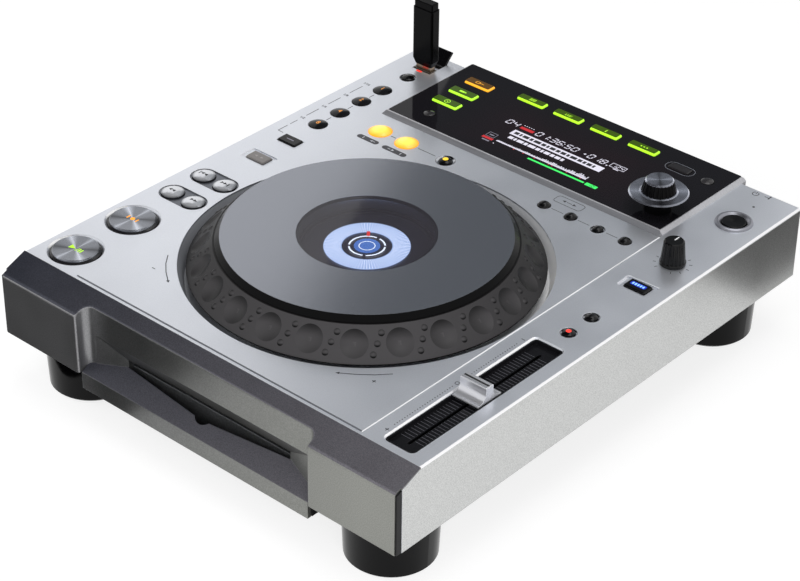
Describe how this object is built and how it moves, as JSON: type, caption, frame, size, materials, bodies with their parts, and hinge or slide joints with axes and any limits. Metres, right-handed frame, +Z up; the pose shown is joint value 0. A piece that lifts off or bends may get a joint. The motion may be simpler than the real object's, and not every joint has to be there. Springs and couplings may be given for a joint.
{
  "type": "tabletop dj cd player",
  "caption": "Tabletop CD player for disc jockeys with a large jog wheel, tempo slider, dark display, lit keys, front disc slot and four tall round feet.",
  "frame": {"origin": "underside of the feet, centred on the overall size in plan", "axes": "+Z up, +Y towards the rear sockets, -Y towards the user, +X to the user's right"},
  "size_m": [0.305, 0.3694, 0.1308],
  "materials": {
    "silver_case": "satin",
    "silver_panel": "satin",
    "fascia": "satin",
    "black_steel": "satin",
    "black_gloss": "gloss",
    "zinc": "satin",
    "bezel": "satin",
    "window": "gloss",
    "well": "satin",
    "jog_screen": "gloss",
    "jog_grip": "matte",
    "jog_metal": "brushed",
    "jog_glass": "gloss",
    "trim": "polished",
    "key_silver": "satin",
    "key_black": "gloss",
    "key_lit": "satin",
    "key_smoke": "gloss",
    "key_metal": "spun",
    "cap_silver": "satin",
    "stick": "gloss",
    "boards": "matte",
    "drive_steel": "satin",
    "hub": "matte",
    "rubber": "matte",
    "sockets": "satin"
  },
  "bodies": {
    "player": {"base_chassis": "black_steel", "feet": "black_gloss", "case_screws": "zinc", "upper_case": "silver_case", "centre_panel": "silver_panel", "front_fascia": "fascia", "rear_panel": "black_steel", "display_housing": "bezel", "display_window": "window", "jog_well": "well", "jog_display": "jog_screen", "control_trims": "trim", "circuit_boards": "boards", "drive_chassis": "drive_steel", "rear_sockets": "sockets"},
    "jog_wheel": {"jog_ring": "jog_grip"},
    "touch_plate": {"jog_plate": "jog_metal", "jog_window": "jog_glass"},
    "vinyl_knob": {"vinyl_speed_knob": "key_black"},
    "selector": {"rotary_selector": "key_black"},
    "slider": {"tempo_slider": "cap_silver"},
    "flap": {"usb_flap": "key_black"},
    "memory_stick": {"usb_stick": "stick"},
    "disc_hub": {"turntable": "hub"},
    "roller": {"feed_roller": "rubber"},
    "power_button": {"power_key": "key_black"},
    "search_back_button": {"search_back_key": "key_silver"},
    "search_forward_button": {"search_forward_key": "key_silver"},
    "track_back_button": {"track_back_key": "key_silver"},
    "track_forward_button": {"track_forward_key": "key_silver"},
    "beat_loop_8_button": {"beat_loop_8_key": "key_black"},
    "beat_loop_4_button": {"beat_loop_4_key": "key_black"},
    "beat_loop_2_button": {"beat_loop_2_key": "key_black"},
    "beat_loop_1_button": {"beat_loop_1_key": "key_black"},
    "loop_in_button": {"loop_in_key": "key_lit"},
    "loop_out_button": {"loop_out_key": "key_lit"},
    "call_back_button": {"call_back_key": "key_black"},
    "call_forward_button": {"call_forward_key": "key_black"},
    "memory_button": {"memory_key": "key_black"},
    "usb_stop_button": {"usb_stop_key": "key_black"},
    "tempo_range_button": {"tempo_range_key": "key_black"},
    "master_tempo_button": {"master_tempo_key": "key_black"},
    "reloop_button": {"reloop_key": "key_black"},
    "delete_button": {"delete_key": "key_black"},
    "source_disc_button": {"source_disc_key": "key_smoke"},
    "source_usb_button": {"source_usb_key": "key_smoke"},
    "source_link_button": {"source_link_key": "key_smoke"},
    "browse_button": {"browse_key": "key_smoke"},
    "tag_list_button": {"tag_list_key": "key_smoke"},
    "info_button": {"info_key": "key_smoke"},
    "menu_button": {"menu_key": "key_smoke"},
    "back_button": {"back_key": "key_smoke"},
    "time_mode_button": {"time_mode_key": "key_smoke"},
    "tag_track_button": {"tag_track_key": "key_smoke"},
    "direction_button": {"direction_key": "key_smoke"},
    "loop_mode_button": {"loop_mode_key": "key_black"},
    "jog_mode_button": {"jog_mode_key": "key_black"},
    "eject_button": {"eject_key": "key_black"},
    "play_button": {"play_key": "key_metal"},
    "cue_button": {"cue_key": "key_metal"}
  },
  "joints": [
    {"name": "jog_turn", "type": "hinge", "parent": "player", "child": "jog_wheel", "pos_m": [0, -0.0397, 0.0999], "axis": [0, 0, 1], "continuous": true},
    {"name": "jog_press", "type": "slide", "parent": "jog_wheel", "child": "touch_plate", "axis": [0, 0, -1], "range_m": [0, 0.0004], "stiffness_N_per_m": 20000, "springref_m": -0.0003},
    {"name": "vinyl_speed_turn", "type": "hinge", "parent": "player", "child": "vinyl_knob", "pos_m": [0.132, 0.0764, 0.0814], "axis": [0, 0, 1], "range_deg": [-150, 150]},
    {"name": "selector_turn", "type": "hinge", "parent": "player", "child": "selector", "pos_m": [0.0917, 0.1158, 0.0842], "axis": [0, 0, 1], "continuous": true},
    {"name": "tempo_slide", "type": "slide", "parent": "player", "child": "slider", "axis": [0, 1, 0], "range_m": [-0.05, 0.05]},
    {"name": "flap_turn", "type": "hinge", "parent": "player", "child": "flap", "pos_m": [-0.1291, 0.1685, 0.0799], "axis": [1, 0, 0], "range_deg": [0, 66]},
    {"name": "memory_stick_pull", "type": "slide", "parent": "player", "child": "memory_stick", "axis": [0, 0, 1], "range_m": [0, 0.011]},
    {"name": "disc_spin", "type": "hinge", "parent": "player", "child": "disc_hub", "pos_m": [0, -0.1006, 0.0432], "axis": [0, 0, 1], "continuous": true},
    {"name": "roller_spin", "type": "hinge", "parent": "player", "child": "roller", "pos_m": [0, -0.1596, 0.0388], "axis": [1, 0, 0], "continuous": true},
    {"name": "power_press", "type": "slide", "parent": "player", "child": "power_button", "axis": [0, -1, 0], "range_m": [0, 0.0025], "stiffness_N_per_m": 800, "springref_m": -0.0005},
    {"name": "search_back_press", "type": "slide", "parent": "player", "child": "search_back_button", "axis": [0, 0, -1], "range_m": [0, 0.0006], "stiffness_N_per_m": 1500, "springref_m": -0.0003},
    {"name": "search_forward_press", "type": "slide", "parent": "player", "child": "search_forward_button", "axis": [0, 0, -1], "range_m": [0, 0.0006], "stiffness_N_per_m": 1500, "springref_m": -0.0003},
    {"name": "track_back_press", "type": "slide", "parent": "player", "child": "track_back_button", "axis": [0, 0, -1], "range_m": [0, 0.0006], "stiffness_N_per_m": 1500, "springref_m": -0.0003},
    {"name": "track_forward_press", "type": "slide", "parent": "player", "child": "track_forward_button", "axis": [0, 0, -1], "range_m": [0, 0.0006], "stiffness_N_per_m": 1500, "springref_m": -0.0003},
    {"name": "beat_loop_8_press", "type": "slide", "parent": "player", "child": "beat_loop_8_button", "axis": [0, 0, -1], "range_m": [0, 0.0006], "stiffness_N_per_m": 1500, "springref_m": -0.0003},
    {"name": "beat_loop_4_press", "type": "slide", "parent": "player", "child": "beat_loop_4_button", "axis": [0, 0, -1], "range_m": [0, 0.0006], "stiffness_N_per_m": 1500, "springref_m": -0.0003},
    {"name": "beat_loop_2_press", "type": "slide", "parent": "player", "child": "beat_loop_2_button", "axis": [0, 0, -1], "range_m": [0, 0.0006], "stiffness_N_per_m": 1500, "springref_m": -0.0003},
    {"name": "beat_loop_1_press", "type": "slide", "parent": "player", "child": "beat_loop_1_button", "axis": [0, 0, -1], "range_m": [0, 0.0006], "stiffness_N_per_m": 1500, "springref_m": -0.0003},
    {"name": "loop_in_press", "type": "slide", "parent": "player", "child": "loop_in_button", "axis": [0, 0, -1], "range_m": [0, 0.0006], "stiffness_N_per_m": 1500, "springref_m": -0.0003},
    {"name": "loop_out_press", "type": "slide", "parent": "player", "child": "loop_out_button", "axis": [0, 0, -1], "range_m": [0, 0.0006], "stiffness_N_per_m": 1500, "springref_m": -0.0003},
    {"name": "call_back_press", "type": "slide", "parent": "player", "child": "call_back_button", "axis": [0, 0, -1], "range_m": [0, 0.0006], "stiffness_N_per_m": 1500, "springref_m": -0.0003},
    {"name": "call_forward_press", "type": "slide", "parent": "player", "child": "call_forward_button", "axis": [0, 0, -1], "range_m": [0, 0.0006], "stiffness_N_per_m": 1500, "springref_m": -0.0003},
    {"name": "memory_press", "type": "slide", "parent": "player", "child": "memory_button", "axis": [0, 0, -1], "range_m": [0, 0.0006], "stiffness_N_per_m": 1500, "springref_m": -0.0003},
    {"name": "usb_stop_press", "type": "slide", "parent": "player", "child": "usb_stop_button", "axis": [0, 0, -1], "range_m": [0, 0.0006], "stiffness_N_per_m": 1500, "springref_m": -0.0003},
    {"name": "tempo_range_press", "type": "slide", "parent": "player", "child": "tempo_range_button", "axis": [0, 0, -1], "range_m": [0, 0.0006], "stiffness_N_per_m": 1500, "springref_m": -0.0003},
    {"name": "master_tempo_press", "type": "slide", "parent": "player", "child": "master_tempo_button", "axis": [0, 0, -1], "range_m": [0, 0.0006], "stiffness_N_per_m": 1500, "springref_m": -0.0003},
    {"name": "reloop_press", "type": "slide", "parent": "player", "child": "reloop_button", "axis": [0, 0, -1], "range_m": [0, 0.0006], "stiffness_N_per_m": 1500, "springref_m": -0.0003},
    {"name": "delete_press", "type": "slide", "parent": "player", "child": "delete_button", "axis": [0, 0, -1], "range_m": [0, 0.0006], "stiffness_N_per_m": 1500, "springref_m": -0.0003},
    {"name": "source_disc_press", "type": "slide", "parent": "player", "child": "source_disc_button", "axis": [0, 0, -1], "range_m": [0, 0.0006], "stiffness_N_per_m": 1500, "springref_m": -0.0003},
    {"name": "source_usb_press", "type": "slide", "parent": "player", "child": "source_usb_button", "axis": [0, 0, -1], "range_m": [0, 0.0006], "stiffness_N_per_m": 1500, "springref_m": -0.0003},
    {"name": "source_link_press", "type": "slide", "parent": "player", "child": "source_link_button", "axis": [0, 0, -1], "range_m": [0, 0.0006], "stiffness_N_per_m": 1500, "springref_m": -0.0003},
    {"name": "browse_press", "type": "slide", "parent": "player", "child": "browse_button", "axis": [0, 0, -1], "range_m": [0, 0.0006], "stiffness_N_per_m": 1500, "springref_m": -0.0003},
    {"name": "tag_list_press", "type": "slide", "parent": "player", "child": "tag_list_button", "axis": [0, 0, -1], "range_m": [0, 0.0006], "stiffness_N_per_m": 1500, "springref_m": -0.0003},
    {"name": "info_press", "type": "slide", "parent": "player", "child": "info_button", "axis": [0, 0, -1], "range_m": [0, 0.0006], "stiffness_N_per_m": 1500, "springref_m": -0.0003},
    {"name": "menu_press", "type": "slide", "parent": "player", "child": "menu_button", "axis": [0, 0, -1], "range_m": [0, 0.0006], "stiffness_N_per_m": 1500, "springref_m": -0.0003},
    {"name": "back_press", "type": "slide", "parent": "player", "child": "back_button", "axis": [0, 0, -1], "range_m": [0, 0.0006], "stiffness_N_per_m": 1500, "springref_m": -0.0003},
    {"name": "time_mode_press", "type": "slide", "parent": "player", "child": "time_mode_button", "axis": [0, 0, -1], "range_m": [0, 0.0006], "stiffness_N_per_m": 1500, "springref_m": -0.0003},
    {"name": "tag_track_press", "type": "slide", "parent": "player", "child": "tag_track_button", "axis": [0, 0, -1], "range_m": [0, 0.0006], "stiffness_N_per_m": 1500, "springref_m": -0.0003},
    {"name": "direction_press", "type": "slide", "parent": "player", "child": "direction_button", "axis": [0, 0, -1], "range_m": [0, 0.0006], "stiffness_N_per_m": 1500, "springref_m": -0.0003},
    {"name": "loop_mode_press", "type": "slide", "parent": "player", "child": "loop_mode_button", "axis": [0, 0, -1], "range_m": [0, 0.0006], "stiffness_N_per_m": 1500, "springref_m": -0.0003},
    {"name": "jog_mode_press", "type": "slide", "parent": "player", "child": "jog_mode_button", "axis": [0, 0, -1], "range_m": [0, 0.0006], "stiffness_N_per_m": 1500, "springref_m": -0.0003},
    {"name": "eject_press", "type": "slide", "parent": "player", "child": "eject_button", "axis": [0, 0, -1], "range_m": [0, 0.0006], "stiffness_N_per_m": 1500, "springref_m": -0.0003},
    {"name": "play_press", "type": "slide", "parent": "player", "child": "play_button", "axis": [0, 0, -1], "range_m": [0, 0.0015], "stiffness_N_per_m": 1200, "springref_m": -0.0005},
    {"name": "cue_press", "type": "slide", "parent": "player", "child": "cue_button", "axis": [0, 0, -1], "range_m": [0, 0.0015], "stiffness_N_per_m": 1200, "springref_m": -0.0005}
  ]
}
